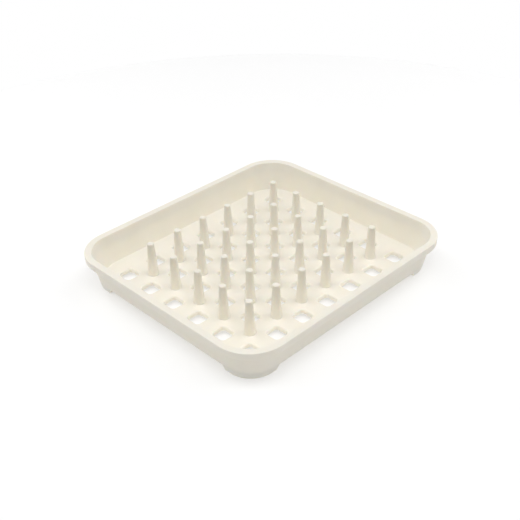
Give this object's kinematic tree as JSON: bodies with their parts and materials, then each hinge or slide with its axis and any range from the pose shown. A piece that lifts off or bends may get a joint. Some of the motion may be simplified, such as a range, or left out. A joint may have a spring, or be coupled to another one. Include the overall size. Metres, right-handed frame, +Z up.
{
  "type": "pegged draining tray",
  "caption": "Shallow rounded rectangular plastic tray with a perforated floor, a grid of tapered standing pegs, a sloping wall with a thick rim, and corner feet.",
  "frame": {"origin": "middle of the tray's outline, on the plane its feet stand on", "axes": "+X along the long side, +Y towards the back, +Z up along the pegs"},
  "size_m": [0.1828, 0.163, 0.0285],
  "materials": {
    "cream_plastic": "soft satin, cream"
  },
  "bodies": {
    "root": {"floor_grid": "cream_plastic", "side_wall": "cream_plastic", "rim": "cream_plastic", "foot_front_left": "cream_plastic", "foot_front_right": "cream_plastic", "foot_back_left": "cream_plastic", "foot_back_right": "cream_plastic", "peg_r1_c1": "cream_plastic", "peg_r1_c2": "cream_plastic", "peg_r1_c3": "cream_plastic", "peg_r1_c4": "cream_plastic", "peg_r1_c5": "cream_plastic", "peg_r1_c6": "cream_plastic", "peg_r2_c1": "cream_plastic", "peg_r2_c2": "cream_plastic", "peg_r2_c3": "cream_plastic", "peg_r2_c4": "cream_plastic", "peg_r2_c5": "cream_plastic", "peg_r2_c6": "cream_plastic", "peg_r3_c1": "cream_plastic", "peg_r3_c2": "cream_plastic", "peg_r3_c3": "cream_plastic", "peg_r3_c4": "cream_plastic", "peg_r3_c5": "cream_plastic", "peg_r3_c6": "cream_plastic", "peg_r4_c1": "cream_plastic", "peg_r4_c2": "cream_plastic", "peg_r4_c3": "cream_plastic", "peg_r4_c4": "cream_plastic", "peg_r4_c5": "cream_plastic", "peg_r4_c6": "cream_plastic", "peg_r5_c1": "cream_plastic", "peg_r5_c2": "cream_plastic", "peg_r5_c3": "cream_plastic", "peg_r5_c4": "cream_plastic", "peg_r5_c5": "cream_plastic", "peg_r5_c6": "cream_plastic"}
  },
  "joints": []
}
